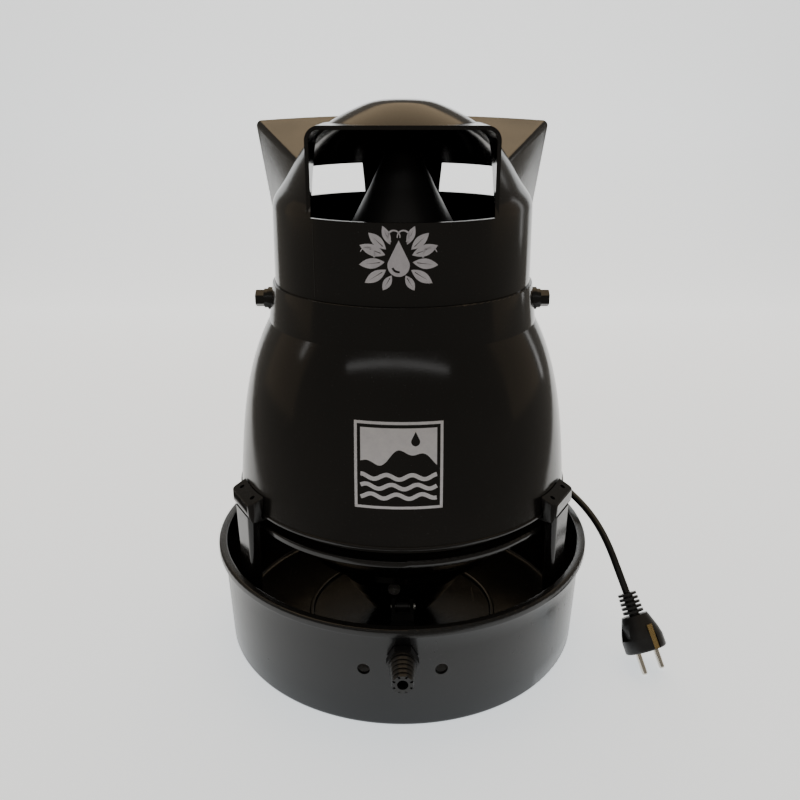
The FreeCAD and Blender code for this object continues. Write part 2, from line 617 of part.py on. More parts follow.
def make_hood_bolts():
    """Hexagon bolt on each side, screwed inwards through washer, neck and spigot."""
    bolts = []
    for side in (-1, 1):
        head = hexagon(12.6, V(side * 117.6, 0, BOLT_Z), V(side * 125.0, 0, BOLT_Z))
        head = head.common(taper(9.0, 6.9, V(side * 117.0, 0, BOLT_Z), V(side * 125.3, 0, BOLT_Z)))
        shank = rod(BOLT_RADIUS, V(side * 94.0, 0, BOLT_Z), V(side * 118.0, 0, BOLT_Z))
        bolts.append(fuse([head, shank]))
    return Part.makeCompound(bolts)


def make_hood_washers():
    """Thick stepped washer under each bolt head, hollowed to sit on the round neck."""
    washers = []
    neck = turned([(0, 290.0), (BELL_OUTLINE[-1][0], 290.0), BELL_OUTLINE[-1], (NECK_RADIUS, SEAM_Z),
            (0, SEAM_Z)])
    for side in (-1, 1):
        spacer = rod(9.6, V(side * 105.0, 0, BOLT_Z), V(side * 114.2, 0, BOLT_Z))
        disc = rod(8.2, V(side * 114.2, 0, BOLT_Z), V(side * 117.6, 0, BOLT_Z))
        washer = fuse([spacer, disc]).cut(neck)
        washer = max(washer.Solids, key=lambda s: s.Volume)
        washers.append(washer.cut(rod(BOLT_RADIUS + 0.1, V(side * 90, 0, BOLT_Z), V(side * 125, 0, BOLT_Z))))
    return Part.makeCompound(washers)


def make_hood_nuts():
    nuts = []
    for side in (-1, 1):
        nut = hexagon(10.0, V(side * 97.4, 0, BOLT_Z), V(side * 102.4, 0, BOLT_Z))
        nuts.append(nut.cut(rod(BOLT_RADIUS, V(side * 90, 0, BOLT_Z), V(side * 110, 0, BOLT_Z))))
    return Part.makeCompound(nuts)


# ---------------------------------------------------------------- motor, its mounting and the rotor
def make_motor_housing():
    can = turned([(0, MOTOR_BOTTOM_Z + 6), (MOTOR_RADIUS, MOTOR_BOTTOM_Z + 6, 1.0), (MOTOR_RADIUS,
            MOTOR_TOP_Z, 3.0),
                  (0, MOTOR_TOP_Z)])
    hollow = rod(MOTOR_RADIUS - 2.5, V(0, 0, MOTOR_BOTTOM_Z + 5), V(0, 0, MOTOR_TOP_Z - 4))
    seat = rod(11.1, V(0, 0, MOTOR_TOP_Z - 12), V(0, 0, MOTOR_TOP_Z - 1))
    boss = rod(15.0, V(0, 0, MOTOR_TOP_Z - 12), V(0, 0, MOTOR_TOP_Z - 3.5))
    return fuse([can.cut(hollow), boss]).cut(seat)


def make_motor_end_cap():
    cap = turned([(SHAFT_RADIUS + 2.0, MOTOR_BOTTOM_Z), (MOTOR_RADIUS, MOTOR_BOTTOM_Z, 3.0),
                  (MOTOR_RADIUS, MOTOR_BOTTOM_Z + 6), (MOTOR_RADIUS - 2.5, MOTOR_BOTTOM_Z + 6),
                  (MOTOR_RADIUS - 2.5, MOTOR_BOTTOM_Z + 9), (MOTOR_RADIUS - 5.0, MOTOR_BOTTOM_Z + 9),
                  (MOTOR_RADIUS - 5.0, MOTOR_BOTTOM_Z + 4), (16.0, MOTOR_BOTTOM_Z + 4), (16.0,
                  MOTOR_BOTTOM_Z + 11),
                  (11.05, MOTOR_BOTTOM_Z + 11), (11.05, MOTOR_BOTTOM_Z + 2.5), (SHAFT_RADIUS + 2.0,
                  MOTOR_BOTTOM_Z + 2.5)])
    return cap


def make_bearings():
    """Two plain ring bearings that carry the shaft."""
    low = tube_along_z(11.0, SHAFT_RADIUS + 0.05, MOTOR_BOTTOM_Z + 3.0, MOTOR_BOTTOM_Z + 10.5)
    high = tube_along_z(11.0, SHAFT_RADIUS + 0.05, MOTOR_TOP_Z - 11.0, MOTOR_TOP_Z - 3.0)
    return Part.makeCompound([low.Solids[0], high.Solids[0]])


def make_stator():
    core = tube_along_z(MOTOR_RADIUS - 2.6, 25.0, 268.0, 318.0)
    slots = [around_z(box(24, 36, -2.2, 2.2, 260, 330), k * 30) for k in range(12)]
    windings = [tube_along_z(38.0, 29.0, 258.0, 267.8), tube_along_z(38.0, 29.0, 318.2, 328.0)]
    return fuse([core.cut(Part.makeCompound(slots))]), Part.makeCompound([w.Solids[0] for w in windings])


def make_motor_cone():
    """Streamlined cap on the motor that splits the rising air between the two outlets."""
    profile = [(0, MOTOR_TOP_Z + 0.1), (MOTOR_RADIUS + 5, MOTOR_TOP_Z + 0.1, 1.0), (MOTOR_RADIUS + 5,
            MOTOR_TOP_Z + 6, 3.0),
               (26.5, 407.0, 30.0), (12.5, 436.0, 10.0), (0, 436.0)]
    outer = turned(profile)
    inner = turned([(0, MOTOR_TOP_Z), (MOTOR_RADIUS + 2.5, MOTOR_TOP_Z), (MOTOR_RADIUS + 2.5,
            MOTOR_TOP_Z + 5),
                    (24.0, 407.0), (10.0, 433.0), (0, 433.0)])
    return outer.cut(inner)


def make_motor_bracket():
    """Clamp ring round the motor with three ribbed arms that rest on the bell's bosses."""
    top = BRACKET_Z + BRACKET_ARM
    ring = tube_along_z(MOTOR_RADIUS + 4.0, MOTOR_RADIUS + 0.05, BRACKET_Z, BRACKET_Z + 18)
    pieces = [ring]
    holes = []
    for angle in BRACKET_ANGLES:
        arm = box(MOTOR_RADIUS + 2, BRACKET_SCREW_RADIUS + 6.5, -7, 7, BRACKET_Z, top)
        rib = box(MOTOR_RADIUS + 2, BRACKET_SCREW_RADIUS - 7, -2, 2, top - 0.5, top + 9)
        pieces += [around_z(arm, angle), around_z(rib, angle)]
        centre = at_angle(BRACKET_SCREW_RADIUS, angle, BRACKET_Z)
        holes.append(rod(1.6, centre - V(0, 0, 1), centre + V(0, 0, BRACKET_ARM + 1)))
    return fuse(pieces).cut(Part.makeCompound(holes))


def bell_inner(height):
    """Inside radius of the bell at a height, from its outline."""
    for (r0, z0), (r1, z1) in zip(BELL_OUTLINE, BELL_OUTLINE[1:]):
        if z0 <= height <= z1:
            return r0 + (r1 - r0) * (height - z0) / (z1 - z0) - SHELL_WALL
    return NECK_RADIUS - SHELL_WALL


def make_bracket_screws():
    """Screws down through the bracket's arms into the bell's bosses."""
    head_z = BRACKET_Z + BRACKET_ARM
    return Part.makeCompound([screw(1.5, 18.0, 3.0, 2.0, at_angle(BRACKET_SCREW_RADIUS, a, head_z), UP)
                              for a in BRACKET_ANGLES])


def make_shaft():
    long_part = rod(SHAFT_RADIUS, V(0, 0, DISC_Z - 22), V(0, 0, MOTOR_TOP_Z - 5))
    end = rod(4.0, V(0, 0, DISC_Z - 30), V(0, 0, DISC_Z - 21.9))
    return fuse([long_part, end])


def make_armature():
    core = tube_along_z(24.4, SHAFT_RADIUS, 270.0, 316.0)
    return core.Solids[0]


def make_fan():
    """Axial fan under the motor: hub and six pitched blades."""
    hub = turned([(SHAFT_RADIUS, 196), (24, 196, 3), (24, 224, 3), (SHAFT_RADIUS, 224)])
    blades = []
    blade_count = 6
    for k in range(blade_count):
        blade = box(20, FAN_RADIUS + 6, -24, 24, -1.1, 1.1)
        blade.rotate(ORIGIN, V(1, 0, 0), 28)
        blade.translate(V(0, 0, 210))
        blades.append(around_z(blade, k * 360.0 / blade_count))
    swept = rod(FAN_RADIUS, V(0, 0, 190), V(0, 0, 230))
    fan = fuse([hub] + [b.common(swept) for b in blades])
    return fan.cut(rod(SHAFT_RADIUS, V(0, 0, 180), V(0, 0, 240)))


def make_atomizing_disc():
    disc = turned([(SHAFT_RADIUS, DISC_Z), (DISC_RADIUS, DISC_Z, 0.8), (DISC_RADIUS, DISC_Z + 5.0, 0.8),
                   (DISC_RADIUS - 2.5, DISC_Z + 5.0), (DISC_RADIUS - 2.5, DISC_Z + 2.4, 1.0), (14,
                   DISC_Z + 3.5, 2.0),
                   (14, DISC_Z + 16.0, 1.5), (SHAFT_RADIUS, DISC_Z + 16.0)])
    return disc


def make_pickup_cone():
    """Hollow inverted cone that draws water up its inside as it spins; stepped outside."""
    lid = DISC_Z - 0.2
    rim = 60.0
    outer = [(22.0, CONE_TIP_Z), (25.0, CONE_TIP_Z, 0.8), (31.5, 16.5, 2.0), (33.5, 17.5, 1.0), (40.5,
            28.5, 2.0),
             (42.5, 29.5, 1.0), (50.5, 43.0, 2.0), (52.5, 44.0, 1.0), (rim - 1.0, 57.0, 1.0), (rim,
             58.0, 1.0),
             (rim, 68.0, 2.0), (30.0, 74.0, 4.0), (16.0, lid, 1.0)]
    inner = [(SHAFT_RADIUS, lid), (SHAFT_RADIUS, lid - 8.0), (12.0, lid - 8.0), (26.0, 71.5),
            (rim - 2.6, 65.6),
             (rim - 2.6, 59.0)]
    cone = turned(outer + inner)
    holes = [rod(2.0, at_angle(50, a, CONE_SCREW_Z), at_angle(64, a,
            CONE_SCREW_Z)) for a in CONE_SCREW_ANGLES]
    return cone.cut(Part.makeCompound(holes))


def make_cone_screws():
    """Cross-head screws round the cone's upper rim."""
    screws = []
    for angle in CONE_SCREW_ANGLES:
        way = at_angle(1, angle, 0)
        screws.append(screw(2.0, 5.0, 5.6, 2.4, at_angle(60.0, angle, CONE_SCREW_Z), way))
    return Part.makeCompound(screws)


def make_rotor_nut():
    nut = hexagon(13.0, V(0, 0, DISC_Z - 20.0), V(0, 0, DISC_Z - 8.2))
    return nut.cut(rod(SHAFT_RADIUS, V(0, 0, 50), V(0, 0, 100)))


# ---------------------------------------------------------------- mains cord and plug
def cord_path(route):
    """Straight runs joined by tangent arcs, each as large as its two runs allow."""
    edges = []
    here = route[0]
    length = 0.0
    for i in range(1, len(route) - 1):
        back = route[i - 1] - route[i]
        on = route[i + 1] - route[i]
        shorter = min(back.Length, on.Length)
        back = back / back.Length
        on = on / on.Length
        turn = math.pi - back.getAngle(on)
        radius = 0.45 * shorter / math.tan(turn / 2.0)
        start = route[i] + back * (0.45 * shorter)
        end = route[i] + on * (0.45 * shorter)
        inwards = back + on
        inwards = inwards / inwards.Length
        centre_distance = radius / math.cos(turn / 2.0)
        middle = route[i] + inwards * (centre_distance - radius)
        edges.append(Part.LineSegment(here, start).toShape())
        edges.append(Part.Arc(start, middle, end).toShape())
        length += here.distanceToPoint(start) + radius * turn
        here = end
        print("cord turn %2d: %5.1f degrees, radius %6.1f" % (i, math.degrees(turn), radius))
    edges.append(Part.LineSegment(here, route[-1]).toShape())
    length += here.distanceToPoint(route[-1])
    return Part.Wire(edges), length


def make_cord():
    path, length = cord_path(CORD_ROUTE)
    section = Part.Wire(Part.makeCircle(CORD_RADIUS, CORD_ROUTE[0], CORD_ROUTE[1] - CORD_ROUTE[0]))
    cord = path.makePipeShell([section], True, False)
    expected = math.pi * CORD_RADIUS ** 2 * length
    print("cord length %.1f, volume %.0f, section times length %.0f" % (length, cord.Volume, expected))
    return cord


def make_gland(bell, cord):
    """Shank through the bell's wall, collar on the outside and the tapered strain relief."""
    start = GLAND_START
    shank = rod(4.7, start - GLAND_WAY * 11.0, start + GLAND_WAY * 2.0)
    collar = rod(7.2, start - GLAND_WAY * 3.4, start + GLAND_WAY * 4.2).cut(rod(141.2, V(0, 0, 150),
            V(0, 0, 180)))
    relief = taper(5.6, 4.1, start + GLAND_WAY * 3.0, start + GLAND_WAY * GLAND_LENGTH)
    gland = fuse([shank, collar, relief]).cut(bell).cut(cord)
    return max(gland.Solids, key=lambda s: s.Volume)


def make_plug_body(cord):
    """Round moulded plug with sloping shoulders, slots for the earth clips and a ringed strain relief."""
    tail = PLUG_TAIL
    shoulder = tail + PLUG_WAY * PLUG_RELIEF
    face = shoulder + PLUG_WAY * PLUG_BODY
    pieces = [rod(4.6, tail, shoulder + PLUG_WAY * 1.0)]
    ring_count = 5
    pitch = (PLUG_RELIEF - 0.6) / ring_count
    for k in range(ring_count):
        start = tail + PLUG_WAY * (0.3 + k * pitch)
        pieces.append(rod(8.3 + 0.25 * k, start, start + PLUG_WAY * 2.1))
    pieces.append(taper(11.6, 16.4, shoulder, shoulder + PLUG_WAY * 13.0))
    pieces.append(taper(16.4, PLUG_RADIUS, shoulder + PLUG_WAY * 13.0, shoulder + PLUG_WAY * 20.0))
    nose = rod(PLUG_RADIUS, shoulder + PLUG_WAY * 20.0, face)
    nose = nose.makeFillet(1.8, [e for e in nose.Edges if e.Curve.TypeId == "Part::GeomCircle"
                                 and e.CenterOfMass.distanceToPoint(face) < 0.1])
    body = fuse(pieces + [nose])
    recesses = [plug_block(side * 13.0, side * 22.0, -6.0, 6.0, PLUG_RELIEF + 6.0, PLUG_RELIEF + 19.0)
                for side in (-1, 1)]
    body = body.cut(Part.makeCompound([clip_slot(s) for s in (-1, 1)] + recesses)).cut(cord)
    return max(body.Solids, key=lambda s: s.Volume)


def plug_frame(x, y, along):
    """Point at x along the pins' side direction, y across it, and along the plug's axis from its tail."""
    across = PLUG_WAY.cross(PIN_SIDE)
    across = across / across.Length
    side = across.cross(PLUG_WAY)
    return PLUG_TAIL + side * x + across * y + PLUG_WAY * along


def plug_block(x0, x1, y0, y1, a0, a1):
    """Box in the plug's own directions."""
    x0, x1 = sorted((x0, x1))
    corner = [plug_frame(x0, y0, a0), plug_frame(x1, y0, a0), plug_frame(x1, y1, a0), plug_frame(x0, y1, a0)]
    face = Part.Face(Part.makePolygon(corner + [corner[0]]))
    return face.extrude(PLUG_WAY * (a1 - a0))


def clip_slot(side):
    end = PLUG_RELIEF + PLUG_BODY
    y0, y1 = sorted((side * 15.6, side * 21.0))
    return plug_block(-3.2, 3.2, y0, y1, end - 22.0, end + 1.0)


def make_earth_clips():
    end = PLUG_RELIEF + PLUG_BODY
    clips = []
    for side in (-1, 1):
        y0, y1 = sorted((side * 15.6, side * 16.9))
        clips.append(plug_block(-2.6, 2.6, y0, y1, end - 21.5, end - 0.6))
    return Part.makeCompound(clips)


def make_plug_pins():
    end = PLUG_RELIEF + PLUG_BODY
    pins = []
    for side in (-1, 1):
        base = plug_frame(side * PIN_SPACING / 2.0, 0, end)
        tip = base + PLUG_WAY * PIN_LENGTH
        pin = rod(PIN_RADIUS, base, tip)
        rounded = [e for e in pin.Edges if e.CenterOfMass.distanceToPoint(tip) < 0.1]
        pins.append(pin.makeFillet(1.6, rounded))
    print("lowest pin point %.2f" % min(p.BoundBox.ZMin for p in pins))
    return Part.makeCompound(pins)


# ---------------------------------------------------------------- write every piece
def main():
    os.makedirs("parts", exist_ok=True)
    wall, floor = make_tray()
    save(wall, "water_tray")
    save(floor, "tray_floor")
    save(make_inlet_fitting(), "inlet_fitting")
    save(make_inlet_seals(), "inlet_seals")
    save(make_inlet_locknut(), "inlet_locknut")
    save(make_valve_body(), "float_valve_body")
    save(make_pivot_pin(), "float_pivot_pin")
    save(make_float_arm(), "float_arm")
    save(make_float_block(), "float_block")
    save(make_plunger(), "valve_plunger")
    save(make_plunger_seal(), "plunger_seal")
    bell = make_bell()
    save(bell, "bell_shell")
    save(make_lower_housing(), "lower_housing")
    save(make_diffuser_comb(), "diffuser_comb")
    for node, angle in LEG_ANGLES.items():
        save(make_leg(angle), node)
    save(make_leg_screws(), "leg_screws")
    for piece, node in zip(make_hood_pieces(), ("hood", "hood_dome", "front_duct", "rear_duct")):
        save(piece, node)
    save(make_hood_bolts(), "hood_bolts")
    save(make_hood_washers(), "hood_washers")
    save(make_hood_nuts(), "hood_nuts")
    save(make_motor_housing(), "motor_housing")
    save(make_motor_end_cap(), "motor_end_cap")
    save(make_bearings(), "shaft_bearings")
    core, windings = make_stator()
    save(core, "stator_core")
    save(windings, "stator_windings")
    save(make_motor_cone(), "motor_cone")
    save(make_motor_bracket(), "motor_bracket")
    save(make_bracket_screws(), "bracket_screws")
    save(make_shaft(), "motor_shaft")
    save(make_armature(), "armature")
    save(make_fan(), "fan_impeller")
    save(make_atomizing_disc(), "atomizing_disc")
    save(make_pickup_cone(), "pickup_cone")
    save(make_cone_screws(), "cone_screws")
    save(make_rotor_nut(), "rotor_nut")
    cord = make_cord()
    save(make_gland(bell, cord), "cord_gland")
    save(cord, "power_cord")
    save(make_plug_body(cord), "plug_body")
    save(make_earth_clips(), "plug_earth_clips")
    save(make_plug_pins(), "plug_pins")


main()
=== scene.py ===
"""Looks of the centrifugal disc humidifier: materials, mains cord, prints, lights and camera."""

import bpy
import bmesh
import json
import math
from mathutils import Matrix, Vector
from mathutils.bvhtree import BVHTree
from mathutils.geometry import tessellate_polygon


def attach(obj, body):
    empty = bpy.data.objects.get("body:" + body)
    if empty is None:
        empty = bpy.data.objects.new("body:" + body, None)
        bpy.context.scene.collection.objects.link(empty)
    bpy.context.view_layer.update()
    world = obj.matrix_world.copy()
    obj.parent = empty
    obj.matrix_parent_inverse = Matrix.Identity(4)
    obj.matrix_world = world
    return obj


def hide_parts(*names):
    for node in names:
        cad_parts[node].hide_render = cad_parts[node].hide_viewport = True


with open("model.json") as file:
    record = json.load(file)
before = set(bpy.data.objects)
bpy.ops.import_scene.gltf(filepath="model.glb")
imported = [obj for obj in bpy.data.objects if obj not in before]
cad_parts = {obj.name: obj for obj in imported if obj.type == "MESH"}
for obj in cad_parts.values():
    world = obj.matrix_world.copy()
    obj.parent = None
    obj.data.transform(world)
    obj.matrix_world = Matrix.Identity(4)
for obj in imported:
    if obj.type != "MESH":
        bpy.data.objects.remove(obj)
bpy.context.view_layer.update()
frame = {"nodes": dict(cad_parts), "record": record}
nodes = frame["nodes"]
MM = 0.001

# ---------------------------------------------------------------- camera
FOCAL_LENGTH = 36.96          # mm
FRAME_WIDTH = 36.0            # mm
NEAREST_SEEN = 0.01
CAMERA_PLACE = (-0.0020, -0.6896, 0.4761)
CAMERA_DOWN = 20.35           # degrees below level

lens = bpy.data.cameras.new("camera")
lens.lens = FOCAL_LENGTH
lens.sensor_width = FRAME_WIDTH
lens.clip_start = NEAREST_SEEN
camera = bpy.data.objects.new("camera", lens)
camera.location = CAMERA_PLACE
camera.rotation_euler = (math.radians(90.0 - CAMERA_DOWN), 0.0, 0.0)
bpy.context.collection.objects.link(camera)
bpy.context.scene.camera = camera


# ---------------------------------------------------------------- node helpers
SPECULAR_LEVEL = 0.40
MIX_FIRST, MIX_SECOND, MIX_RESULT = 6, 7, 2     # colour sockets of a Mix node
SETTLED_DUST = (0.16, 0.155, 0.15, 1.0)
RUBBER_GRAIN = 1400.0


def new_material(name):
    """New material: (material, its node tree, its Principled shader, object coordinates)."""
    material = bpy.data.materials.new(name)
    material.use_nodes = True
    tree = material.node_tree
    shader = tree.nodes["Principled BSDF"]
    shader.inputs["Specular IOR Level"].default_value = SPECULAR_LEVEL
    coords = tree.nodes.new("ShaderNodeTexCoord")
    return material, tree, shader, coords.outputs["Object"]


def add_noise(tree, vector, scale, detail=3.0, roughness=0.5, stretch=None):
    """Noise from 0 to 1, finer along an axis with a larger stretch value."""
    if stretch:
        mapping = tree.nodes.new("ShaderNodeMapping")
        mapping.inputs["Scale"].default_value = stretch
        tree.links.new(vector, mapping.inputs["Vector"])
        vector = mapping.outputs["Vector"]
    texture = tree.nodes.new("ShaderNodeTexNoise")
    texture.inputs["Scale"].default_value = scale
    texture.inputs["Detail"].default_value = detail
    texture.inputs["Roughness"].default_value = roughness
    tree.links.new(vector, texture.inputs["Vector"])
    return texture.outputs["Fac"]


def spread(tree, value, low, high, out_low, out_high):
    """Maps value from low..high to out_low..out_high."""
    ranged = tree.nodes.new("ShaderNodeMapRange")
    ranged.inputs["From Min"].default_value = low
    ranged.inputs["From Max"].default_value = high
    ranged.inputs["To Min"].default_value = out_low
    ranged.inputs["To Max"].default_value = out_high
    tree.links.new(value, ranged.inputs["Value"])
    return ranged.outputs["Result"]


def two_colours(tree, factor, first, second):
    """Colour that goes from the first to the second as the factor goes from 0 to 1."""
    ramp = tree.nodes.new("ShaderNodeValToRGB")
    ramp.color_ramp.elements[0].color = (*first, 1.0)
    ramp.color_ramp.elements[1].color = (*second, 1.0)
    tree.links.new(factor, ramp.inputs["Fac"])
    return ramp.outputs["Color"]


def add_up(tree, first, second):
    """Sum of two values, kept between 0 and 1."""
    node = tree.nodes.new("ShaderNodeMath")
    node.operation = "ADD"
    node.use_clamp = True
    tree.links.new(first, node.inputs[0])
    tree.links.new(second, node.inputs[1])
    return node.outputs["Value"]


def add_bump(tree, shader, height, strength, distance):
    bump = tree.nodes.new("ShaderNodeBump")
    bump.inputs["Strength"].default_value = strength
    bump.inputs["Distance"].default_value = distance
    tree.links.new(height, bump.inputs["Height"])
    tree.links.new(bump.outputs["Normal"], shader.inputs["Normal"])


def moulded(name, base, shade, rough_low, rough_high, dust=0.35, bump=0.05, grain=900.0,
            streak=None):
    """Moulded plastic with flow marks, uneven gloss, fine texture, dust and hairline scratches."""
    material, tree, shader, place = new_material(name)
    cloud = add_noise(tree, place, 9.0, 4.0)
    speck = add_noise(tree, place, 1500.0, 1.0)
    specks = spread(tree, speck, 0.74, 0.80, 0.0, dust)
    colour = two_colours(tree, spread(tree, cloud, 0.35, 0.65, 0.0, 1.0), base, shade)
    mix = tree.nodes.new("ShaderNodeMix")
    mix.data_type = "RGBA"
    tree.links.new(specks, mix.inputs["Factor"])
    tree.links.new(colour, mix.inputs[MIX_FIRST])
    mix.inputs[MIX_SECOND].default_value = SETTLED_DUST
    tree.links.new(mix.outputs[MIX_RESULT], shader.inputs["Base Color"])
    smear = add_noise(tree, place, 14.0, 5.0, 0.6, streak)
    scratch = add_noise(tree, place, 260.0, 2.0, 0.5, (1.0, 0.05, 0.35))
    gloss = spread(tree, smear, 0.35, 0.7, rough_low, rough_high)
    marks = spread(tree, scratch, 0.70, 0.78, 0.0, 0.12)
    unevenness = add_up(tree, add_up(tree, gloss, marks), specks)
    tree.links.new(unevenness, shader.inputs["Roughness"])
    peel = add_noise(tree, place, grain, 2.0)
    add_bump(tree, shader, peel, bump, 0.0004)
    return material


def metal(name, base, shade, rough_low, rough_high, brushed=(1.0, 1.0, 1.0)):
    """Bare or plated metal with a cloudy colour and fine brush or turning lines."""
    material, tree, shader, place = new_material(name)
    shader.inputs["Metallic"].default_value = 1.0
    cloud = add_noise(tree, place, 120.0, 4.0, 0.6)
    colour = two_colours(tree, spread(tree, cloud, 0.3, 0.7, 0.0, 1.0), base, shade)
    tree.links.new(colour, shader.inputs["Base Color"])
    line = add_noise(tree, place, 900.0, 3.0, 0.6, brushed)
    tree.links.new(spread(tree, line, 0.3, 0.7, rough_low, rough_high), shader.inputs["Roughness"])
    add_bump(tree, shader, line, 0.15, 0.0002)
    return material


def soft_rubber(name, base, shade, rough_low, rough_high):
    """Rubber, vinyl or nylon with a fine grain."""
    material, tree, shader, place = new_material(name)
    cloud = add_noise(tree, place, 40.0, 4.0)
    colour = two_colours(tree, spread(tree, cloud, 0.3, 0.7, 0.0, 1.0), base, shade)
    tree.links.new(colour, shader.inputs["Base Color"])
    fine = add_noise(tree, place, RUBBER_GRAIN, 3.0)
    tree.links.new(spread(tree, fine, 0.3, 0.7, rough_low, rough_high), shader.inputs["Roughness"])
    add_bump(tree, shader, fine, 0.25, 0.0003)
    return material


def foam(name, base, shade):
    """Closed-cell foam: small cells that show in colour, roughness and relief."""
    material, tree, shader, place = new_material(name)
    cells = tree.nodes.new("ShaderNodeTexVoronoi")
    cells.inputs["Scale"].default_value = 420.0
    tree.links.new(place, cells.inputs["Vector"])
    distance = cells.outputs["Distance"]
    colour = two_colours(tree, spread(tree, distance, 0.1, 0.6, 0.0, 1.0), base, shade)
    tree.links.new(colour, shader.inputs["Base Color"])
    tree.links.new(spread(tree, distance, 0.0, 0.8, 0.55, 0.8), shader.inputs["Roughness"])
    add_bump(tree, shader, distance, 0.4, 0.0004)
    return material


def printed(name, base, shade):
    """Screen-printed ink: slightly uneven cover and a satin surface."""
    material, tree, shader, place = new_material(name)
    cloud = add_noise(tree, place, 160.0, 4.0, 0.7)
    colour = two_colours(tree, spread(tree, cloud, 0.35, 0.7, 0.0, 1.0), base, shade)
    tree.links.new(colour, shader.inputs["Base Color"])
    fine = add_noise(tree, place, 1300.0, 2.0)
    tree.links.new(spread(tree, fine, 0.3, 0.7, 0.42, 0.55), shader.inputs["Roughness"])
    add_bump(tree, shader, fine, 0.1, 0.0001)
    return material


# ---------------------------------------------------------------- materials
# name, two colours that it drifts between, lowest and highest roughness, then what differs
body_black = moulded("black_gloss_plastic", (0.0065, 0.0060, 0.0060), (0.0100, 0.0092, 0.0088),
                     0.11, 0.19)
seam_black = moulded("black_mould_line", (0.030, 0.029, 0.028), (0.022, 0.021, 0.020), 0.25, 0.35)
tray_black = moulded("black_tray_plastic", (0.0085, 0.0085, 0.0090), (0.0130, 0.0130, 0.0135),
                     0.17, 0.28, dust=0.6, bump=0.14, streak=(1.0, 1.0, 0.25))
nylon_black = moulded("black_nylon", (0.0110, 0.0110, 0.0115), (0.0180, 0.0180, 0.0185),
                      0.30, 0.42, dust=0.3, bump=0.12, grain=1600.0)
bolt_black = moulded("black_bolt_plastic", (0.0080, 0.0080, 0.0080), (0.0140, 0.0140, 0.0140),
                     0.22, 0.34, dust=0.2)
fan_black = moulded("black_fan_plastic", (0.0090, 0.0088, 0.0086), (0.0150, 0.0147, 0.0143),
                    0.18, 0.30, dust=0.3)
motor_paint = moulded("black_motor_paint", (0.0130, 0.0130, 0.0135), (0.0200, 0.0200, 0.0205),
                      0.32, 0.45, dust=0.3, bump=0.2, grain=700.0)
cord_black = soft_rubber("black_cord_rubber", (0.0100, 0.0100, 0.0105), (0.0170, 0.0170, 0.0175),
                         0.34, 0.46)
seal_rubber = soft_rubber("black_seal_rubber", (0.0120, 0.0120, 0.0120), (0.0200, 0.0200, 0.0200),
                          0.50, 0.65)
white_nylon = soft_rubber("white_nylon", (0.74, 0.74, 0.71), (0.66, 0.66, 0.63), 0.38, 0.50)
steel = metal("zinc_plated_steel", (0.78, 0.77, 0.74), (0.66, 0.66, 0.64), 0.36, 0.50)
nickel = metal("nickel_plated_pins", (0.70, 0.66, 0.58), (0.58, 0.55, 0.50), 0.16, 0.28)
brass = metal("turned_brass", (0.62, 0.45, 0.20), (0.50, 0.36, 0.16), 0.22, 0.34)
laminations = metal("stamped_laminations", (0.24, 0.24, 0.24), (0.16, 0.16, 0.16), 0.40, 0.55,
                    brushed=(1.0, 1.0, 30.0))
copper = metal("enamelled_copper", (0.58, 0.22, 0.09), (0.42, 0.15, 0.06), 0.28, 0.40,
               brushed=(1.0, 1.0, 20.0))
white_foam = foam("white_closed_cell_foam", (0.95, 0.95, 0.94), (0.86, 0.86, 0.84))
grey_ink = printed("lilac_grey_ink", (0.80, 0.78, 0.84), (0.66, 0.64, 0.70))
pale_ink = printed("pale_ink", (0.90, 0.89, 0.93), (0.80, 0.79, 0.84))

SLOT_MATERIALS = {
    "body_plastic": body_black,
    "tray_plastic": tray_black,
    "fitting_plastic": nylon_black,
    "bolt_plastic": bolt_black,
    "fan_plastic": fan_black,
    "white_plastic": white_nylon,
    "float_foam": white_foam,
    "black_rubber": seal_rubber,
    "cord_rubber": cord_black,
    "motor_paint": motor_paint,
    "steel": steel,
    "pin_metal": nickel,
    "bearing_brass": brass,
    "lamination_steel": laminations,
    "copper_windings": copper,
}
CREASE_ANGLE = 32.0           # degrees; sharper edges stay crisp
BELL_CREASE_ANGLE = 15.0      # the bell's neck turns by less than the other pieces' edges do
WELD_DISTANCE = 1e-6

for part in frame["record"]["subparts"]:
    piece = nodes[part["node"]]
    piece.data.materials.clear()
    piece.data.materials.append(SLOT_MATERIALS[part["material_slot"]])
    for polygon in piece.data.polygons:
        polygon.use_smooth = True
    weld = piece.modifiers.new("weld", "WELD")
    weld.merge_threshold = WELD_DISTANCE
    split = piece.modifiers.new("crisp_edges", "EDGE_SPLIT")
    crease = BELL_CREASE_ANGLE if part["node"] == "bell_shell" else CREASE_ANGLE
    split.split_angle = math.radians(crease)


def finish_piece(obj, material, body):
    obj.data.materials.append(material)
    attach(obj, body)


# ---------------------------------------------------------------- mains cord
CORD_RADIUS = 3.2
ROUTE = [
    (88.76, 142.04, 157.10), (98.0, 155.2, 151.6), (111.5, 165.0, 146.2), (128.0, 168.4, 141.2),
    (144.5, 164.2, 136.0), (157.2, 152.8, 130.8), (163.6, 136.2, 125.6), (163.8, 114.5, 120.4),
    (158.6, 92.5, 116.2),
    (154.8, 72.0, 113.2), (158.6, 51.5, 111.6), (167.9, 32.2, 109.0), (177.1, 12.3, 104.3),
    (184.9, -7.3, 96.8), (190.9, -26.0, 86.3), (195.8, -43.2, 72.9), (201.6, -58.0, 57.0),
]
curve = bpy.data.curves.new("power_cord_line", "CURVE")
curve.dimensions = "3D"
curve.bevel_depth = CORD_RADIUS * MM
curve.bevel_resolution = 6      # steps round the cord
curve.resolution_u = 16         # steps between two points of its line
line = curve.splines.new("NURBS")
line.points.add(len(ROUTE) - 1)
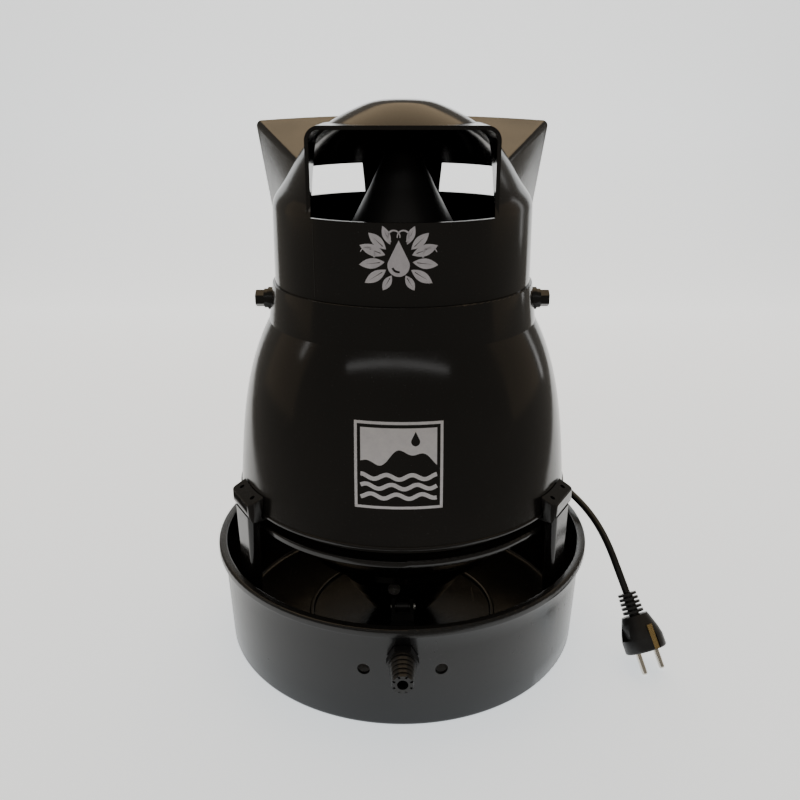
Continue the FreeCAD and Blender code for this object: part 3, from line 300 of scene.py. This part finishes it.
for point, (x, y, z) in zip(line.points, ROUTE):
    point.co = (x * MM, y * MM, z * MM, 1.0)
line.order_u = 3
line.use_endpoint_u = True
cord = bpy.data.objects.new("mains_cord", curve)
bpy.context.collection.objects.link(cord)
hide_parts("power_cord")
finish_piece(cord, cord_black, "power_unit")

# ---------------------------------------------------------------- prints on the hood and the bell
PRINT_LIFT = 0.15             # how far ink stands off the plastic
PRINT_CENTRE_X = -3.0
ORNAMENT_Z = 366.5
EMBLEM_Z = 219.0
MOULD_LINE_Z = 361.0
MOULD_LINE_X = -63.0          # from the prints' centre
MOULD_LINE_HALF_HEIGHT = 27.0
MOULD_LINE_WIDTH = 0.5
LEAF_STEPS = 10
CUT_STEP = 2.5                # size of the cells that a print is cut into
CUTS_EACH_WAY = 14
IN_FRONT_Y = -0.4             # metres; where the rays that lay a print down start


def arc_points(centre, radius, start, end, count):
    """Points along an arc from one angle to another, in degrees."""
    points = []
    for k in range(count + 1):
        turn = math.radians(start + (end - start) * k / count)
        x = centre[0] + radius * math.cos(turn)
        z = centre[1] + radius * math.sin(turn)
        points.append((x, z))
    return points


def leaf(base, tip, width):
    """Pointed leaf with a slit along its vein: (outline, slit)."""
    along = Vector(tip) - Vector(base)
    across = Vector((-along.y, along.x)).normalized()
    left = []
    right = []
    for k in range(LEAF_STEPS + 1):
        share = k / LEAF_STEPS
        half_width = 0.5 * width * math.sin(math.pi * share) ** 0.9
        middle = Vector(base) + along * share
        left.append(tuple(middle + across * half_width))
        right.append(tuple(middle - across * half_width))
    slit_foot = Vector(base) + along * 0.18
    slit_tip = Vector(base) + along * 0.80
    slit = [tuple(slit_foot - across * 0.3), tuple(slit_tip), tuple(slit_foot + across * 0.3)]
    return left + right[-2:0:-1], [slit]


def stroke(points, start_width, end_width):
    """Ribbon along a line, changing evenly in width."""
    left = []
    right = []
    last = len(points) - 1
    for k, point in enumerate(points):
        way = Vector(points[min(k + 1, last)]) - Vector(points[max(k - 1, 0)])
        across = Vector((-way.y, way.x)).normalized()
        half_width = 0.5 * (start_width + (end_width - start_width) * k / last)
        left.append(tuple(Vector(point) + across * half_width))
        right.append(tuple(Vector(point) - across * half_width))
    return left + right[::-1], []


def drop(centre, radius, height):
    """Water drop, round below and pointed above."""
    lower = arc_points(centre, radius, 150.0, 390.0, 28)
    tip = (centre[0], centre[1] + height)
    return [tip] + lower


def mirrored(shape):
    """The shape seen in a mirror that stands upright through the middle."""
    outline, holes = shape
    return [(-x, z) for x, z in outline], [[(-x, z) for x, z in hole] for hole in holes]


def wreath():
    """Ring of leaves and tendrils round a water drop with a glint in it."""
    half_of_it = [
        leaf((9.5, 3.0), (28.0, 9.5), 8.0),
        leaf((9.0, 7.0), (21.5, 18.5), 7.0),
        leaf((6.0, 10.5), (11.5, 23.5), 5.5),
        leaf((10.0, -2.0), (28.5, -4.5), 7.5),
        leaf((9.0, -7.5), (24.5, -17.5), 7.5),
        leaf((5.0, -11.5), (11.5, -22.5), 6.0),
        stroke(arc_points((3.4, 16.0), 4.4, -60.0, 190.0, 16), 1.8, 0.7),
        stroke(arc_points((22.5, 3.0), 5.2, 200.0, 20.0, 12)[::-1], 0.6, 1.4),
    ]
    drop_centre = (0.0, -4.5)
    middle = drop(drop_centre, 8.0, 18.0)
    glint = arc_points(drop_centre, 5.4, 200.0, 280.0, 8)
    glint += arc_points(drop_centre, 3.8, 280.0, 200.0, 8)
    return half_of_it + [mirrored(shape) for shape in half_of_it] + [(middle, [glint])]


def square(half_side):
    return [(-half_side, -half_side), (half_side, -half_side), (half_side, half_side),
            (-half_side, half_side)]


def emblem():
    """Square frame round a sky with a drop, hills and three waves."""
    outer = 33.0
    border = 2.1
    panel = 28.4
    frame_shape = (square(outer), [square(outer - border)])
    steps = 36
    hills = []
    for k in range(steps + 1):
        x = -panel + 2 * panel * k / steps
        hills.append((x, 6.5 + 5.0 * math.sin(x * 0.115 + 0.8) + 2.6 * math.sin(x * 0.29 + 2.0)))
    sky = (hills + [(panel, panel), (-panel, panel)], [drop((12.5, 18.6), 3.3, 7.4)])
    waves = []
    for height in (-8.0, -15.5, -23.0):
        crest = []
        for k in range(steps + 1):
            x = -panel + 2 * panel * k / steps
            crest.append((x, height + 1.7 * math.sin(x * 0.33 + height)))
        waves.append(stroke(crest, 3.2, 3.2))
    return [frame_shape, sky] + waves


def print_on(name, shapes, centre_z, node, material):
    """Flat shapes cut into small pieces and laid on the front of a node, a hair above it."""
    mesh = bmesh.new()
    for outline, holes in shapes:
        loops = [[Vector((x, z, 0.0)) for x, z in ring] for ring in [outline] + holes]
        flat = [v for ring in loops for v in ring]
        corners = [mesh.verts.new((v.x, 0.0, v.y)) for v in flat]
        for a, b, c in tessellate_polygon(loops):
            mesh.faces.new((corners[a], corners[b], corners[c]))
    for k in range(-CUTS_EACH_WAY, CUTS_EACH_WAY + 1):
        for normal in ((1, 0, 0), (0, 0, 1)):
            everything = mesh.verts[:] + mesh.edges[:] + mesh.faces[:]
            bmesh.ops.bisect_plane(mesh, geom=everything, plane_co=Vector(normal) * k * CUT_STEP,
                                   plane_no=normal)
    target = nodes[node].data
    surface = BVHTree.FromPolygons([v.co for v in target.vertices],
                                   [p.vertices for p in target.polygons])
    for v in mesh.verts:
        start = Vector(((v.co.x + PRINT_CENTRE_X) * MM, IN_FRONT_Y, (v.co.z + centre_z) * MM))
        place = surface.ray_cast(start, Vector((0, 1, 0)))[0]
        v.co = place - Vector((0, PRINT_LIFT * MM, 0))
    bmesh.ops.recalc_face_normals(mesh, faces=mesh.faces[:])
    for face in mesh.faces:
        if face.normal.y > 0:
            face.normal_flip()
        face.smooth = True
    data = bpy.data.meshes.new(name)
    mesh.to_mesh(data)
    mesh.free()
    obj = bpy.data.objects.new(name, data)
    bpy.context.collection.objects.link(obj)
    finish_piece(obj, material, "power_unit")


mould_line_ends = [(MOULD_LINE_X, -MOULD_LINE_HALF_HEIGHT), (MOULD_LINE_X, MOULD_LINE_HALF_HEIGHT)]
mould_line = stroke(mould_line_ends, MOULD_LINE_WIDTH, MOULD_LINE_WIDTH)
print_on("hood_ornament_print", wreath(), ORNAMENT_Z, "hood", grey_ink)
print_on("bell_emblem_print", emblem(), EMBLEM_Z, "bell_shell", pale_ink)
print_on("hood_mould_line", [mould_line], MOULD_LINE_Z, "hood", seam_black)

# ---------------------------------------------------------------- floor, backdrop and lights
# Floor and backdrop are one pale sheet that gives a soft light of its own.
FLOOR_FRONT_Y = -0.33
BACKDROP_Y = 1.60
BACKDROP_TOP_Z = 0.95
FLOOR_FRONT_HALF_WIDTH = 0.30
FLOOR_SPREAD = 0.48           # how much half-width the floor gains per metre away from the camera
SWEEP_RADIUS = 0.40
SWEEP_STEPS = 12
FLOOR_ROUGHNESS = 0.9
FLOOR_GLOW_COLOUR = (0.90, 0.96, 1.0, 1.0)
FLOOR_GLOW = 1.05
ROOM_COLOUR = (0.50, 0.46, 0.40, 1.0)
ROOM_LIGHT = 0.45
WARM = (1.0, 0.74, 0.44)
BROWN = (1.0, 0.72, 0.42)
WHITE = (1.0, 1.0, 1.0)

sweep = [(FLOOR_FRONT_Y, 0.0), (BACKDROP_Y - SWEEP_RADIUS, 0.0)]
for k in range(1, SWEEP_STEPS + 1):
    turn = math.radians(90.0 * k / SWEEP_STEPS)
    sweep.append((BACKDROP_Y - SWEEP_RADIUS + SWEEP_RADIUS * math.sin(turn),
                  SWEEP_RADIUS * (1.0 - math.cos(turn))))
sweep.append((BACKDROP_Y, BACKDROP_TOP_Z))
corners = [(side * (FLOOR_FRONT_HALF_WIDTH + FLOOR_SPREAD * (y - FLOOR_FRONT_Y)), y, z)
           for y, z in sweep for side in (-1, 1)]
faces = [(2 * k, 2 * k + 1, 2 * k + 3, 2 * k + 2) for k in range(len(sweep) - 1)]
floor_mesh = bpy.data.meshes.new("floor")
floor_mesh.from_pydata(corners, [], faces)
for polygon in floor_mesh.polygons:
    polygon.use_smooth = True
floor = bpy.data.objects.new("floor", floor_mesh)
bpy.context.collection.objects.link(floor)
floor_material, tree, shader, place = new_material("pale_floor")
floor_tone = two_colours(tree, add_noise(tree, place, 1.5, 2.0),
                         (0.84, 0.84, 0.85), (0.88, 0.88, 0.89))
tree.links.new(floor_tone, shader.inputs["Base Color"])
shader.inputs["Roughness"].default_value = FLOOR_ROUGHNESS
shader.inputs["Emission Color"].default_value = FLOOR_GLOW_COLOUR
shader.inputs["Emission Strength"].default_value = FLOOR_GLOW
floor.data.materials.append(floor_material)

world = bpy.data.worlds.new("studio")
bpy.context.scene.world = world
world.use_nodes = True
background = world.node_tree.nodes["Background"]
background.inputs["Color"].default_value = ROOM_COLOUR
background.inputs["Strength"].default_value = ROOM_LIGHT


def softbox(name, place, target, width, height, brightness, colour):
    """Rectangular diffused light of the given size and surface brightness, facing the target."""
    light = bpy.data.lights.new(name, "AREA")
    light.shape = "RECTANGLE"
    light.size = width
    light.size_y = height
    light.energy = brightness * math.pi * width * height
    light.color = colour
    lamp = bpy.data.objects.new(name, light)
    lamp.location = place
    lamp.rotation_euler = (Vector(target) - Vector(place)).to_track_quat("-Z", "Y").to_euler()
    bpy.context.collection.objects.link(lamp)


# name, place, target, width, height, brightness, colour
softbox("ceiling", (0.0, 1.35, 2.4), (0.0, 1.35, 0.0), 3.0, 2.9, 1.2, WARM)
softbox("left_wall", (-2.0, 0.35, 0.75), (0.0, 0.35, 0.40), 1.5, 1.3, 0.16, BROWN)
softbox("right_wall", (2.0, 0.35, 0.75), (0.0, 0.35, 0.40), 1.5, 1.3, 0.16, BROWN)
softbox("front_top", (-0.10, -1.40, 1.20), (0.0, 0.0, 0.30), 2.40, 0.12, 1.8, WHITE)
softbox("left_strip", (-1.5, -0.1, 1.1), (0.0, 0.0, 0.30), 0.10, 0.7, 2.0, WHITE)
softbox("right_strip", (1.4, 0.9, 0.6), (0.0, 0.0, 0.30), 0.12, 1.0, 1.6, WHITE)
